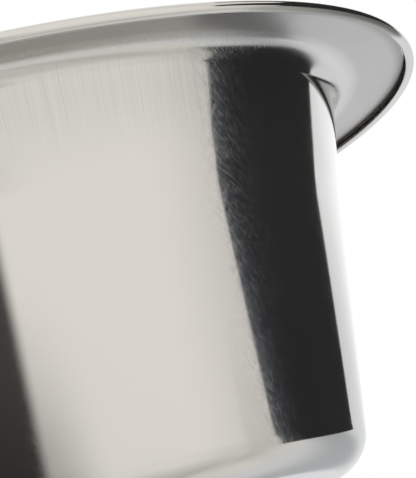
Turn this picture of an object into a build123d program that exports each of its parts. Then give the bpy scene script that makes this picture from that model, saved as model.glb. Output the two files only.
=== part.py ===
import os
from math import radians, tan

from build123d import *

# Overall sizes of the bowl, in millimetres and degrees
rim_diameter = 250.0
overall_height = 87.4
sheet = 0.6

# Rolled edge: the rim of the sheet curls down and under into a hollow bead, left open on its inner side
curl_diameter = 2.5
curl_turn = 235.0

# Flat flange between the rolled edge and the wall; all bends are measured to mid-sheet
flange_width = 18.6
flange_bend = 5.8

# Tapered wall: it flares a little more under the flange and turns into the base with a full round bend
neck_height = 24.2
neck_draft = 14.3
wall_draft = 12.0
wall_bend = 80.0
base_bend = 9.3

# Base: a flat band around a centre panel that is pressed up by one step
panel_diameter = 114.0
step_draft = 45.0
step_bend = 1.2

# Anti-skid rubber ring, bonded under the centre panel beside the step
ring_thickness = 3.0
ring_drop = 1.2
ring_width = 9.0
ring_clearance = 0.3
ring_edge = 0.8


def bend_reach(radius, turn):
    """Distance from a bend's sharp corner to the start of its arc."""
    return radius * tan(radians(turn) / 2)


# Places on the middle of the sheet, from the rim inwards
half_sheet = sheet / 2
curl_bend = curl_diameter / 2 - half_sheet
curl_centre_r = rim_diameter / 2 - curl_diameter / 2
flange_z = overall_height - half_sheet
mouth_r = curl_centre_r - flange_width
neck_z = flange_z - neck_height
neck_r = mouth_r - neck_height * tan(radians(neck_draft))
base_z = ring_drop + half_sheet
corner_r = neck_r - (neck_z - base_z) * tan(radians(wall_draft))
panel_z = ring_thickness + half_sheet
panel_r = panel_diameter / 2
step_foot_r = panel_r + (panel_z - base_z) / tan(radians(step_draft))
ring_outer_r = panel_r - bend_reach(step_bend, step_draft) - ring_clearance


def drawn_shell():
    """One blank of stainless sheet, drawn to a bowl and rolled over at the rim."""
    with BuildSketch(Plane.XZ) as section:
        with BuildLine():
            bends = FilletPolyline(
                (0, panel_z),
                (panel_r, panel_z),
                (step_foot_r, base_z),
                (corner_r, base_z),
                (neck_r, neck_z),
                (mouth_r, flange_z),
                (curl_centre_r, flange_z),
                radius=(step_bend, step_bend, base_bend, wall_bend, flange_bend),
            )
            JernArc(bends @ 1, bends % 1, radius=curl_bend, arc_size=-curl_turn)
        trace(line_width=sheet)
    return revolve(section.sketch, axis=Axis.Z)


def rubber_ring():
    """Flat rubber ring with rounded lower edges, its top face on the panel."""
    with BuildSketch(Plane.XZ) as section:
        with Locations((ring_outer_r, 0)):
            Rectangle(ring_width, ring_thickness, align=(Align.MAX, Align.MIN))
        lower_corners = section.vertices().group_by(Axis.Y)[0]
        fillet(lower_corners, radius=ring_edge)
    return revolve(section.sketch, axis=Axis.Z)


os.makedirs("parts", exist_ok=True)
export_step(drawn_shell(), "parts/bowl_shell.step")
export_step(rubber_ring(), "parts/anti_skid_ring.step")
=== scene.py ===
from math import atan2, cos, pi, radians, sin, tan

import bpy
from mathutils import Matrix, Vector


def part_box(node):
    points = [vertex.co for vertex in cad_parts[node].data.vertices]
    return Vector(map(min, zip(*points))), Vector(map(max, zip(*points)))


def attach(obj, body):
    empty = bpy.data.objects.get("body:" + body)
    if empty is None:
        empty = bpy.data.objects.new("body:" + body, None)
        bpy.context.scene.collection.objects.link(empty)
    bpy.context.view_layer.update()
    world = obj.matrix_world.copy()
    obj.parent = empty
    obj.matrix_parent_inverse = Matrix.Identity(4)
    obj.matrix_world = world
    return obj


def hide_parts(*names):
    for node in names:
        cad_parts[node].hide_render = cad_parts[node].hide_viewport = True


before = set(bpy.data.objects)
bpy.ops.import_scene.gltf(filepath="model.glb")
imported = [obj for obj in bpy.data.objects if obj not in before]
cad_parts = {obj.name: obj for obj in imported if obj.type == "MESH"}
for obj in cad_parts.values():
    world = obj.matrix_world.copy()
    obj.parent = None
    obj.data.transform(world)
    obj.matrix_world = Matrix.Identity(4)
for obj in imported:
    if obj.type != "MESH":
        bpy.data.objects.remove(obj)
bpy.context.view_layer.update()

shell_low, shell_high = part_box("bowl_shell")
ring_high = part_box("anti_skid_ring")[1]

# Sizes of the drawn sheet, in metres and degrees
rim_radius = shell_high[0]
rim_top = shell_high[2]
base_underside = shell_low[2]
panel_underside = ring_high[2]
sheet = 0.0006
curl_diameter = 0.0025
curl_turn = 235
flange_width = 0.0186
flange_bend = 0.0058
neck_height = 0.0242
neck_draft = 14.3
wall_draft = 12
wall_bend = 0.08
base_bend = 0.0093
panel_radius = 0.057
step_draft = 45
step_bend = 0.0012

# Distances from the axis at which the rolled bead and the flat of the flange start
bead_start = rim_radius - curl_diameter
flange_start = bead_start - flange_width + flange_bend

# Fineness of the shell's mesh, in metres and degrees
run_step = 0.003
bend_step = 3
curl_step = 10
segments_around = 300
weld_distance = 1e-6

# Unevenness that drawing leaves in the wall
uneven_depth = 0.0001
uneven_scale = 22.0
uneven_fade = 0.012

# Camera of the photograph in the bowl's frame, in metres, degrees and pixels, its sensor in millimetres
photo_height = 478
focal_pixels = 2243
sensor_height = 36
eye = Vector((0, -0.51, -0.0357))
camera_pan = 7.567
camera_tilt = 10.896
camera_roll = -17.86


# Building blocks of the shapes and finishes
def new_node(tree, kind, inputs=None, **settings):
    """Adds a node; inputs maps a socket's name or number to a value or to another socket."""
    node = tree.nodes.new(kind)
    for name, value in settings.items():
        setattr(node, name, value)
    for key, value in (inputs or {}).items():
        if isinstance(value, bpy.types.NodeSocket):
            tree.links.new(value, node.inputs[key])
        else:
            node.inputs[key].default_value = value
    return node


def made(tree, kind, inputs=None, **settings):
    """Adds a node and gives its first output."""
    return new_node(tree, kind, inputs, **settings).outputs[0]


def calc(tree, operation, first, second=0.0):
    """One step of arithmetic on one or two values."""
    return made(tree, "ShaderNodeMath", {0: first, 1: second}, operation=operation)


def total(tree, first, *others):
    """All values added up."""
    for other in others:
        first = calc(tree, "ADD", first, other)
    return first


def product(tree, first, *others):
    """All values multiplied."""
    for other in others:
        first = calc(tree, "MULTIPLY", first, other)
    return first


def ramp(tree, value, start, end, low=0.0, high=1.0):
    """Smooth change from low to high while value goes from start to end."""
    limits = {"Value": value, "From Min": start, "From Max": end, "To Min": low, "To Max": high}
    return made(tree, "ShaderNodeMapRange", limits, interpolation_type="SMOOTHSTEP")


def band(tree, value, rise, fall):
    """One between a rise and a fall, zero outside; each says where it starts and where it ends."""
    return product(tree, ramp(tree, value, *rise), ramp(tree, value, *fall, 1.0, 0.0))


def flat_length(tree, x, y):
    """Length of a vector in a plane."""
    vector = made(tree, "ShaderNodeCombineXYZ", {0: x, 1: y})
    return new_node(tree, "ShaderNodeVectorMath", {0: vector}, operation="LENGTH").outputs["Value"]


def mixed_colour(tree, share, first, second):
    """Colour between two, by share; each is three numbers or a socket."""
    colours = []
    for colour in (first, second):
        given = isinstance(colour, bpy.types.NodeSocket)
        colours.append(colour if given else (*colour, 1))
    inputs = {0: share, 6: colours[0], 7: colours[1]}
    return new_node(tree, "ShaderNodeMix", inputs, data_type="RGBA").outputs[2]


def add_object(name, data):
    """Puts a mesh, curve or camera into the scene, at the origin."""
    added = bpy.data.objects.new(name, data)
    bpy.context.scene.collection.objects.link(added)
    return added


# Section of the sheet
def arc_points(centre, radius, start, turn, step):
    """Points and headings on an arc that starts at an angle and turns by turn radians."""
    count = max(2, round(abs(turn) / step))
    side = 1 if turn > 0 else -1
    found = []
    for i in range(count + 1):
        angle = start + turn * i / count
        place = centre + radius * Vector((cos(angle), sin(angle)))
        heading = side * Vector((-sin(angle), cos(angle)))
        found.append((place, heading))
    return found


def straight_run(start, end):
    """Points and headings along a straight run, its far end left to what follows."""
    count = max(1, round((end - start).length / run_step))
    heading = (end - start).normalized()
    return [(start.lerp(end, i / count), heading) for i in range(count)]


def rounded_path(corners, bends):
    """Middle line of the sheet: straight runs between corners, each corner bent to its radius."""
    path = []
    start = corners[0]
    for i, bend in enumerate(bends):
        corner, after = corners[i + 1], corners[i + 2]
        heading = (corner - start).normalized()
        leaving = (after - corner).normalized()
        turn = atan2(heading.cross(leaving), heading.dot(leaving))
        side = 1 if turn > 0 else -1
        across = Vector((-heading.y, heading.x)) * side
        reach = bend * tan(abs(turn) / 2)
        bend_start = corner - heading * reach
        path += straight_run(start, bend_start)
        first_angle = atan2(-across.y, -across.x)
        path += arc_points(bend_start + across * bend, bend, first_angle, turn, radians(bend_step))
        start = corner + leaving * reach
    path += straight_run(start, corners[-1])
    return path


def sheet_outline():
    """Closed section of the sheet as (radius, height): out along the underside, back along the top."""
    half_sheet = sheet / 2
    half_curl = curl_diameter / 2
    curl_bend = half_curl - half_sheet
    curl_centre = Vector((rim_radius - half_curl, rim_top - half_curl))
    flange_end = curl_centre + Vector((0, curl_bend))
    mouth = flange_end - Vector((flange_width, 0))
    neck = mouth - neck_height * Vector((tan(radians(neck_draft)), 1))
    base = base_underside + half_sheet
    panel = panel_underside + half_sheet
    corner = Vector((neck.x - (neck.y - base) * tan(radians(wall_draft)), base))
    step_top = Vector((panel_radius, panel))
    step_foot = Vector((panel_radius + (panel - base) / tan(radians(step_draft)), base))
    corners = [Vector((0, panel)), step_top, step_foot, corner, neck, mouth, flange_end]
    path = rounded_path(corners, [step_bend, step_bend, base_bend, wall_bend, flange_bend])
    path += arc_points(curl_centre, curl_bend, pi / 2, -radians(curl_turn), radians(curl_step))
    underside = [place + half_sheet * Vector((way.y, -way.x)) for place, way in path]
    topside = [place - half_sheet * Vector((way.y, -way.x)) for place, way in path]
    return underside + topside[::-1]


# Drawn shell: the section swept around the bowl's axis
def shell_tree(material):
    """Sweeps a section around the axis and gives the wall the faint unevenness of drawn metal."""
    tree = bpy.data.node_groups.new("drawn_shell_tree", "GeometryNodeTree")
    tree.interface.new_socket("Section", in_out="INPUT", socket_type="NodeSocketGeometry")
    tree.interface.new_socket("Segments", in_out="INPUT", socket_type="NodeSocketInt")
    for name in ("Path Radius", "Unevenness", "Uneven Scale", "Even Below", "Even Above", "Fade"):
        tree.interface.new_socket(name, in_out="INPUT", socket_type="NodeSocketFloat")
    tree.interface.new_socket("Shell", in_out="OUTPUT", socket_type="NodeSocketGeometry")
    given = new_node(tree, "NodeGroupInput").outputs

    circle_sizes = {"Resolution": given["Segments"], "Radius": given["Path Radius"]}
    circle = made(tree, "GeometryNodeCurvePrimitiveCircle", circle_sizes)
    swept = made(tree, "GeometryNodeCurveToMesh", {"Curve": circle, "Profile Curve": given["Section"]})
    welded = made(tree, "GeometryNodeMergeByDistance", {"Geometry": swept, "Distance": weld_distance})
    outward_faces = made(tree, "GeometryNodeFlipFaces", {"Mesh": welded})

    position = made(tree, "GeometryNodeInputPosition")
    height = new_node(tree, "ShaderNodeSeparateXYZ", {0: position}).outputs["Z"]
    noise_middle = 0.5
    swell = calc(tree, "SUBTRACT", noise(tree, position, given["Uneven Scale"], detail=1.0), noise_middle)
    base_fade = total(tree, given["Even Below"], given["Fade"])
    rim_fade = calc(tree, "SUBTRACT", given["Even Above"], given["Fade"])
    wall = band(tree, height, rise=(given["Even Below"], base_fade), fall=(rim_fade, given["Even Above"]))
    depth = product(tree, swell, given["Unevenness"], wall)
    level = made(tree, "ShaderNodeVectorMath", {0: position, 1: (1, 1, 0)}, operation="MULTIPLY")
    outward = made(tree, "ShaderNodeVectorMath", {0: level}, operation="NORMALIZE")
    shift = made(tree, "ShaderNodeVectorMath", {0: outward, "Scale": depth}, operation="SCALE")
    uneven = made(tree, "GeometryNodeSetPosition", {"Geometry": outward_faces, "Offset": shift})

    smooth = made(tree, "GeometryNodeSetShadeSmooth", {"Geometry": uneven})
    real = made(tree, "GeometryNodeRealizeInstances", {"Geometry": smooth})
    clad = made(tree, "GeometryNodeSetMaterial", {"Geometry": real, "Material": material})
    new_node(tree, "NodeGroupOutput", {0: clad})
    return tree


def drawn_shell(material):
    """The bowl's sheet as one closed mesh."""
    outline = sheet_outline()
    curve = bpy.data.curves.new("sheet_section", "CURVE")
    curve.dimensions = "3D"
    spline = curve.splines.new("POLY")
    spline.points.add(len(outline) - 1)
    for point, place in zip(spline.points, outline):
        point.co = (place.x - rim_radius, -place.y, 0, 1)
    carrier = add_object("sheet_section", curve)
    tree = shell_tree(material)
    modifier = carrier.modifiers.new("sweep", "NODES")
    modifier.node_group = tree
    sizes = {
        "Segments": segments_around,
        "Path Radius": rim_radius,
        "Unevenness": uneven_depth,
        "Uneven Scale": uneven_scale,
        "Even Below": base_underside + base_bend,
        "Even Above": rim_top - flange_bend,
        "Fade": uneven_fade,
    }
    for item in tree.interface.items_tree:
        if item.in_out == "INPUT" and item.name in sizes:
            modifier[item.identifier] = sizes[item.name]
    return plain_mesh(carrier, "steel_bowl")


def plain_mesh(carrier, name):
    """Turns a carrier's evaluated shape into a plain mesh object and removes the carrier."""
    evaluated = carrier.evaluated_get(bpy.context.evaluated_depsgraph_get())
    piece = add_object(name, bpy.data.meshes.new_from_object(evaluated))
    bpy.data.objects.remove(carrier)
    return piece


# Finishes, with painted shade in the steel's colour
def new_material(name):
    """A material with its tree and shader."""
    material = bpy.data.materials.new(name)
    material.use_nodes = True
    tree = material.node_tree
    return material, tree, tree.nodes["Principled BSDF"]


def noise(tree, vector, scale, detail=2.0):
    """Noise of about zero to one."""
    return made(tree, "ShaderNodeTexNoise", {"Vector": vector, "Scale": scale, "Detail": detail})


def line_noise(tree, angle, along, around, lengthwise, lean=0.0):
    """Noise drawn out into lines: around cells a radian, lengthwise cells a metre, slanted by lean."""
    turned = total(tree, product(tree, along, lean), angle)
    east = product(tree, calc(tree, "COSINE", turned), around)
    north = product(tree, calc(tree, "SINE", turned), around)
    up = product(tree, along, lengthwise)
    vector = made(tree, "ShaderNodeCombineXYZ", {0: east, 1: north, 2: up})
    return noise(tree, vector, 1.0)


def steel_zones(tree, angle, radius, height):
    """Shares from zero to one for the stretches of the sheet that have their own colour, painted shade,
    roughness or relief.
    """
    bearing = calc(tree, "DEGREES", angle)
    depth = calc(tree, "SUBTRACT", rim_top, height)
    zones = {}

    bead_blur = 0.0002
    on_bead = ramp(tree, radius, bead_start - bead_blur, bead_start + bead_blur)
    inside_bead = calc(tree, "SUBTRACT", 1.0, on_bead)

    # Painted shade that greys the flange, and brushed metal that also takes in the bend under it
    flange_shade_fade = (flange_start + 0.0005, flange_start + 0.0025)
    # The flange share below paints shade: it greys the flange's colour
    zones["flange_shade"] = product(tree, ramp(tree, radius, *flange_shade_fade), inside_bead)
    brush_fade = 0.003
    half_brushed = flange_start - brush_fade
    first_half = ramp(tree, radius, half_brushed - brush_fade, half_brushed, 0.0, 0.5)
    second_half = ramp(tree, radius, half_brushed, flange_start + brush_fade, 0.0, 0.5)
    zones["brushed"] = product(tree, total(tree, first_half, second_half), inside_bead)

    # Painted shadow on the flange where the rolled edge closes on it, and painted shade in the hollow inside
    # that edge
    seam_shadow_width = 0.003
    zones["seam_shadow"] = product(tree, ramp(tree, radius, bead_start - seam_shadow_width, bead_start), inside_bead)
    # The hollow is painted dark as shade, and it is also rougher
    hollow_share, hollow_full_share = 0.4, 0.36
    from_curl = calc(tree, "SUBTRACT", radius, rim_radius - curl_diameter / 2)
    below_curl = calc(tree, "SUBTRACT", depth, curl_diameter / 2)
    curl_distance = flat_length(tree, from_curl, below_curl)
    hollow_fade = (hollow_full_share * curl_diameter, hollow_share * curl_diameter)
    zones["hollow"] = ramp(tree, curl_distance, *hollow_fade, 1.0, 0.0)

    # Dull underside of the rolled edge on the right
    dull_share, dull_full_share = 0.62, 0.73
    underside = ramp(tree, depth, dull_share * curl_diameter, dull_full_share * curl_diameter)
    dull_stretch = band(tree, bearing, rise=(-56, -48), fall=(-26, -20))
    zones["dull"] = product(tree, underside, on_bead, dull_stretch)

    # Wall, the draw lines at its top, darkened there with painted shade, and a strip of scuffs down its
    # right side
    wall_fade = 0.002
    zones["wall"] = ramp(tree, radius, flange_start - wall_fade, flange_start, 1.0, 0.0)
    # The band below carries the draw lines and also painted shade that darkens the wall's top
    zones["drawn"] = band(tree, depth, rise=(0.001, 0.005), fall=(0.007, 0.024))
    scuff_stretch = band(tree, bearing, rise=(-58, -51), fall=(-44, -36))
    zones["scuffed"] = product(tree, scuff_stretch, zones["wall"])
    return zones


def steel_marks(tree, place, angle, along):
    """Lines, scratches, clouds and grain that drawing, polishing and use leave in the sheet."""
    return {
        "draw_lines": line_noise(tree, angle, along, around=420, lengthwise=25),
        "deep_lines": line_noise(tree, angle, along, around=130, lengthwise=12, lean=0.3),
        "left_scratches": line_noise(tree, angle, along, around=620, lengthwise=480, lean=9),
        "right_scratches": line_noise(tree, angle, along, around=680, lengthwise=400, lean=-6),
        "clouds": noise(tree, place, scale=45),
        "grain": noise(tree, place, scale=4200),
    }


def steel_colour(tree, zones, marks):
    """Bright wall with draw lines at its top, darkened there by painted shade, a flange greyed by painted
    shade, a painted shadow where the rolled edge closes on the flange and painted shade in its hollow.
    """
    bright, warm = (0.64, 0.63, 0.61), (0.665, 0.65, 0.625)
    # The line colours, darker than the bright wall, stand for the draw lines and also paint shade over the
    # wall's top
    line_shade, line_light, deep_shade = (0.56, 0.555, 0.54), (0.61, 0.6, 0.58), (0.535, 0.53, 0.52)
    # These three colours are painted shade: a greyer flange, a painted shadow where the rolled edge closes
    # on the flange, and painted dark in the hollow inside that edge
    flange_shade, seam_shadow, hollow = (0.56, 0.55, 0.535), (0.36, 0.35, 0.33), (0.3, 0.285, 0.265)
    line_edges, deep_line_edges = (0.3, 0.7), (0.3, 0.36)
    lines = ramp(tree, marks["draw_lines"], *line_edges)
    deep_lines = ramp(tree, marks["deep_lines"], *deep_line_edges, 1.0, 0.0)
    lined_and_shaded = mixed_colour(tree, lines, line_shade, line_light)
    lined_and_shaded = mixed_colour(tree, deep_lines, lined_and_shaded, deep_shade)
    colour = mixed_colour(tree, marks["clouds"], bright, warm)
    for zone, zone_colour in (("flange_shade", flange_shade), ("drawn", lined_and_shaded), ("seam_shadow", seam_shadow), ("hollow", hollow)):
        colour = mixed_colour(tree, zones[zone], colour, zone_colour)
    return colour


def steel_roughness(tree, zones, marks):
    """Polished wall with wear in patches and scuffs, a brushed flange, dull places on the rolled edge."""
    polished, brushed = 0.05, 0.33
    least_wear, most_wear = 0.02, 0.07
    scuff_gain, hollow_gain, dull_gain = 0.13, 0.4, 0.45
    left_edges, right_edges = (0.5, 0.66), (0.54, 0.7)
    grain_edges, cloud_edges = (0.5, 0.75), (0.35, 0.65)
    left_scratches = ramp(tree, marks["left_scratches"], *left_edges)
    right_scratches = ramp(tree, marks["right_scratches"], *right_edges)
    scratches = calc(tree, "MAXIMUM", left_scratches, right_scratches)
    wear = calc(tree, "MAXIMUM", ramp(tree, marks["grain"], *grain_edges), scratches)
    patches = ramp(tree, marks["clouds"], *cloud_edges, least_wear, most_wear)
    return total(
        tree,
        product(tree, wear, patches),
        product(tree, zones["scuffed"], scratches, scuff_gain),
        ramp(tree, zones["brushed"], 0.0, 1.0, polished, brushed),
        ramp(tree, zones["hollow"], 0.0, 1.0, 0.0, hollow_gain),
        product(tree, zones["dull"], dull_gain),
    )


def steel_relief(tree, zones, marks):
    """Draw lines, deepest at the wall's top, and shallow scratches."""
    relief_depth = 4e-6
    faint_share, deep_share, scratch_share = 0.08, 0.6, 0.05
    lines = product(tree, marks["draw_lines"], ramp(tree, zones["drawn"], 0.0, 1.0, faint_share, deep_share))
    scratches = total(tree, marks["left_scratches"], marks["right_scratches"])
    relief = total(tree, lines, product(tree, scratches, scratch_share))
    relief = product(tree, relief, zones["wall"])
    return made(tree, "ShaderNodeBump", {"Height": relief, "Strength": 1.0, "Distance": relief_depth})


def polished_steel():
    """Polished stainless sheet with the marks of drawing and use, brushed on its flange, with painted shade
    at the wall's top, on the flange and at the rolled edge.
    """
    material, tree, shader = new_material("polished_steel")
    shader.inputs["Metallic"].default_value = 1.0
    place = new_node(tree, "ShaderNodeTexCoord").outputs["Object"]
    x, y, height = new_node(tree, "ShaderNodeSeparateXYZ", {0: place}).outputs
    radius = flat_length(tree, x, y)
    angle = calc(tree, "ARCTAN2", y, x)
    along = total(tree, radius, height)
    zones = steel_zones(tree, angle, radius, height)
    marks = steel_marks(tree, place, angle, along)
    tree.links.new(steel_colour(tree, zones, marks), shader.inputs["Base Color"])
    tree.links.new(steel_roughness(tree, zones, marks), shader.inputs["Roughness"])
    tree.links.new(steel_relief(tree, zones, marks), shader.inputs["Normal"])
    return material


def black_rubber():
    """Matt black rubber with a fine grain."""
    deep_black, worn_black = (0.022, 0.022, 0.023), (0.042, 0.041, 0.04)
    smoothest, roughest = 0.55, 0.8
    grain_scale, cloud_scale, grain_depth, grain_edges = 1500, 60, 8e-5, (0.3, 0.7)
    material, tree, shader = new_material("black_rubber")
    place = new_node(tree, "ShaderNodeTexCoord").outputs["Object"]
    grain = noise(tree, place, grain_scale, detail=3.0)
    colour = mixed_colour(tree, noise(tree, place, cloud_scale), deep_black, worn_black)
    tree.links.new(colour, shader.inputs["Base Color"])
    tree.links.new(ramp(tree, grain, *grain_edges, smoothest, roughest), shader.inputs["Roughness"])
    relief = made(tree, "ShaderNodeBump", {"Height": grain, "Strength": 1.0, "Distance": grain_depth})
    tree.links.new(relief, shader.inputs["Normal"])
    return material


# Surroundings: aside is degrees away from the front, elevation degrees above the horizon
def front_level(tree, aside, elevation):
    """Brightness in front: greyer toward the ground, dimmer at the side and less so low down there."""
    ground_fade, horizon_fade = (-52, -28), (-21, -11)
    ground_level, open_level, horizon_gain = 0.75, 0.97, 0.06
    dimming, brightening, side_share = (62, 92), (96, 114), 0.82
    low_side, low_fade, low_gain = (85, 105), (-48, -35), 0.2
    open_front = ramp(tree, elevation, *ground_fade, ground_level, open_level)
    horizon = ramp(tree, elevation, *horizon_fade, 0.0, horizon_gain)
    toward_side = ramp(tree, aside, *dimming, 1.0, side_share)
    past_side = ramp(tree, aside, *brightening, side_share, 1.0)
    side = calc(tree, "MAXIMUM", toward_side, past_side)
    low = product(tree, ramp(tree, aside, *low_side), ramp(tree, elevation, *low_fade, low_gain, 0.0))
    return total(tree, product(tree, total(tree, open_front, horizon), side), low)


def rear_level(tree, elevation):
    """Brightness behind: greyer toward the ground and along the horizon."""
    ground_fade, horizon_fade, upper_fade = (-50, -18), (-22, -3), (1, 8)
    ground_level, open_level, horizon_loss, upper_gain = 0.9, 1.12, 0.28, 0.29
    return total(
        tree,
        ramp(tree, elevation, *ground_fade, ground_level, open_level),
        ramp(tree, elevation, *horizon_fade, 0.0, -horizon_loss),
        ramp(tree, elevation, *upper_fade, 0.0, upper_gain),
    )


def camera_gap(tree, aside, elevation):
    """Share of light left by the dark gap where the camera stands, which narrows toward the ground."""
    edge, gap_share = (23.6, 27.6), 0.075
    lean, lean_start = 0.35, -8
    leaning = product(tree, calc(tree, "MINIMUM", elevation, lean_start), lean)
    return ramp(tree, calc(tree, "SUBTRACT", aside, leaning), *edge, gap_share, 1.0)


def beside_gap(tree, aside, elevation):
    """Share of light left low down beside that gap."""
    reach, low_fade, loss = (20, 40), (-18.5, -12), 0.5
    dimmed = product(tree, ramp(tree, aside, *reach, 1.0, 0.0), ramp(tree, elevation, *low_fade, loss, 0.0))
    return calc(tree, "SUBTRACT", 1.0, dimmed)


def beside_card(tree, aside, elevation):
    """Share of light left low down from the side on, mirrored as a faint strip beside the dark card."""
    edge, low_fade, loss, lean = (75.5, 78), (-11, -8), 0.1, 0.5
    leaning = total(tree, aside, product(tree, elevation, lean))
    dimmed = product(tree, ramp(tree, leaning, *edge), ramp(tree, elevation, *low_fade, loss, 0.0))
    return calc(tree, "SUBTRACT", 1.0, dimmed)


def studio_world():
    """Soft white surroundings, warm in front and cooler behind, plain white to the camera."""
    rear_edge = (128, 142)
    warm_white, cool_white, plain_white = (1.02, 1.0, 0.955), (0.985, 1.0, 1.02), (1, 1, 1)
    world = bpy.data.worlds.new("studio")
    bpy.context.scene.world = world
    world.use_nodes = True
    tree = world.node_tree
    way = new_node(tree, "ShaderNodeTexCoord").outputs["Generated"]
    x, y, z = new_node(tree, "ShaderNodeSeparateXYZ", {0: way}).outputs
    turned = calc(tree, "ARCTAN2", x, product(tree, y, -1.0))
    aside = calc(tree, "DEGREES", calc(tree, "ABSOLUTE", turned))
    elevation = calc(tree, "DEGREES", calc(tree, "ARCSINE", z))

    behind = ramp(tree, aside, *rear_edge)
    front = product(tree, front_level(tree, aside, elevation), calc(tree, "SUBTRACT", 1.0, behind))
    rear = product(tree, rear_level(tree, elevation), behind)
    level = total(tree, front, rear)
    for share_left in (camera_gap, beside_gap, beside_card):
        level = product(tree, level, share_left(tree, aside, elevation))

    tint = mixed_colour(tree, behind, warm_white, cool_white)
    light = made(tree, "ShaderNodeVectorMath", {0: tint, "Scale": level}, operation="SCALE")
    seen = new_node(tree, "ShaderNodeLightPath").outputs["Is Camera Ray"]
    shown = mixed_colour(tree, seen, light, plain_white)
    tree.links.new(shown, tree.nodes["Background"].inputs["Color"])


# Cards and floor
def flat_piece(name, corners, material):
    """One flat face with a material."""
    mesh = bpy.data.meshes.new(name)
    mesh.from_pydata(corners, [], [tuple(range(len(corners)))])
    mesh.materials.append(material)
    return add_object(name, mesh)


def mirrored_card(name, corners, shade_of):
    """Flat card that only the metal mirrors; shade_of gives its colour from the tree and the place on it."""
    material, tree, _ = new_material(name)
    place = new_node(tree, "ShaderNodeTexCoord").outputs["Object"]
    glow = made(tree, "ShaderNodeEmission", {"Color": shade_of(tree, place)})
    tree.links.new(glow, tree.nodes["Material Output"].inputs["Surface"])
    card = flat_piece(name, corners, material)
    card.visible_camera = False
    card.visible_diffuse = False
    card.visible_shadow = False


def dark_card():
    """Dark card leaning beside the bowl on the right, a little lighter along its near edge low down."""
    foot, turn, lean = 0.2594, -0.741, 0.422
    high_fade, edge_width = (0.07, 0.095), 0.04
    edge_shade, card_shade = (0.055, 0.063, 0.08), (0.029, 0.029, 0.03)

    # Corners as (y, z): up the far side, along the top to the near arm, back under the arm and down
    low_end, near_end, arm_foot = (-0.015, -0.077), (-0.092, 0.039), (-0.083, 0.077)
    far_side = [(0.102, -0.003), (0.085, 0.069), (0.093, 0.115), (0.15, 0.3), (0.12, 0.55)]
    top = [(0.04, 0.55), (0.03, 0.3), (-0.05, 0.25), (-0.12, 0.25), (-0.215, 0.225)]
    under_arm = [(-0.215, 0.1), (-0.15, 0.088), arm_foot]
    outline = [low_end, *far_side, *top, *under_arm, near_end]
    corners = [(foot + turn * y + lean * z, y, z) for y, z in outline]

    def shade(tree, place):
        height = new_node(tree, "ShaderNodeSeparateXYZ", {0: place}).outputs["Z"]
        inside = []
        for start, end in ((low_end, near_end), (near_end, arm_foot)):
            run = Vector(end) - Vector(start)
            inward = Vector((0, run.y, -run.x)).normalized()
            reach = new_node(tree, "ShaderNodeVectorMath", {0: place, 1: inward}, operation="DOT_PRODUCT")
            edge = inward.dot(Vector((0, *start)))
            inside.append(calc(tree, "SUBTRACT", reach.outputs["Value"], edge))
        off_edge = ramp(tree, calc(tree, "MINIMUM", *inside), 0.0, edge_width)
        share = calc(tree, "MAXIMUM", ramp(tree, height, *high_fade), off_edge)
        return mixed_colour(tree, share, edge_shade, card_shade)

    mirrored_card("dark_card", corners, shade)


def low_card():
    """Grey card below and behind the bowl, mirrored by the right end of its bottom bend."""
    left, right, behind, bottom, top = 0.02, 0.5, 0.15, -0.3, -0.003
    upper_fade, lower_fade = (-0.045, top), (-0.06, -0.22)
    grey, pale = (0.5, 0.52, 0.54), (0.82, 0.84, 0.85)
    corners = [(x, behind, z) for x, z in ((left, bottom), (right, bottom), (right, top), (left, top))]

    def shade(tree, place):
        height = new_node(tree, "ShaderNodeSeparateXYZ", {0: place}).outputs["Z"]
        light = total(tree, ramp(tree, height, *upper_fade), ramp(tree, height, *lower_fade))
        return mixed_colour(tree, light, grey, pale)

    mirrored_card("low_card", corners, shade)


def floor():
    """Pale floor under the bowl; it is clear from below, where the photograph was taken from."""
    reach, pale, matt = 3.0, (0.85, 0.85, 0.85, 1), 0.9
    material, tree, shader = new_material("pale_floor")
    shader.inputs["Base Color"].default_value = pale
    shader.inputs["Roughness"].default_value = matt
    below = new_node(tree, "ShaderNodeNewGeometry").outputs["Backfacing"]
    mirrored = new_node(tree, "ShaderNodeLightPath").outputs["Is Glossy Ray"]
    either = calc(tree, "MAXIMUM", below, mirrored)
    clear = made(tree, "ShaderNodeBsdfTransparent")
    surface = made(tree, "ShaderNodeMixShader", {0: either, 1: shader.outputs[0], 2: clear})
    tree.links.new(surface, tree.nodes["Material Output"].inputs["Surface"])
    corners = [(-reach, -reach, 0), (reach, -reach, 0), (reach, reach, 0), (-reach, reach, 0)]
    piece = flat_piece("floor", corners, material)


def photo_camera():
    """Long lens from a little below the base, rolled as the photograph is."""
    nearest = 0.01
    pan, tilt, roll = radians(camera_pan), radians(camera_tilt), radians(camera_roll)
    ahead = Vector((sin(pan) * cos(tilt), cos(pan) * cos(tilt), sin(tilt)))
    level = Vector((cos(pan), -sin(pan), 0))
    upright = level.cross(ahead)
    right = cos(roll) * level + sin(roll) * upright
    up = cos(roll) * upright - sin(roll) * level
    data = bpy.data.cameras.new("camera")
    data.sensor_fit = "VERTICAL"
    data.sensor_height = sensor_height
    data.lens = focal_pixels / photo_height * sensor_height
    data.clip_start = nearest
    camera = add_object("camera", data)
    turn = Matrix((right, up, -ahead)).transposed()
    camera.matrix_world = Matrix.Translation(eye) @ turn.to_4x4()
    bpy.context.scene.camera = camera


# Bowl and the ring under it
bowl = drawn_shell(polished_steel())
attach(bowl, "root")
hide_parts("bowl_shell")

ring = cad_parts["anti_skid_ring"]
ring.data.materials.clear()
ring.data.materials.append(black_rubber())

# Studio
floor()
studio_world()
dark_card()
low_card()
photo_camera()
bpy.context.scene.view_settings.view_transform = "Standard"
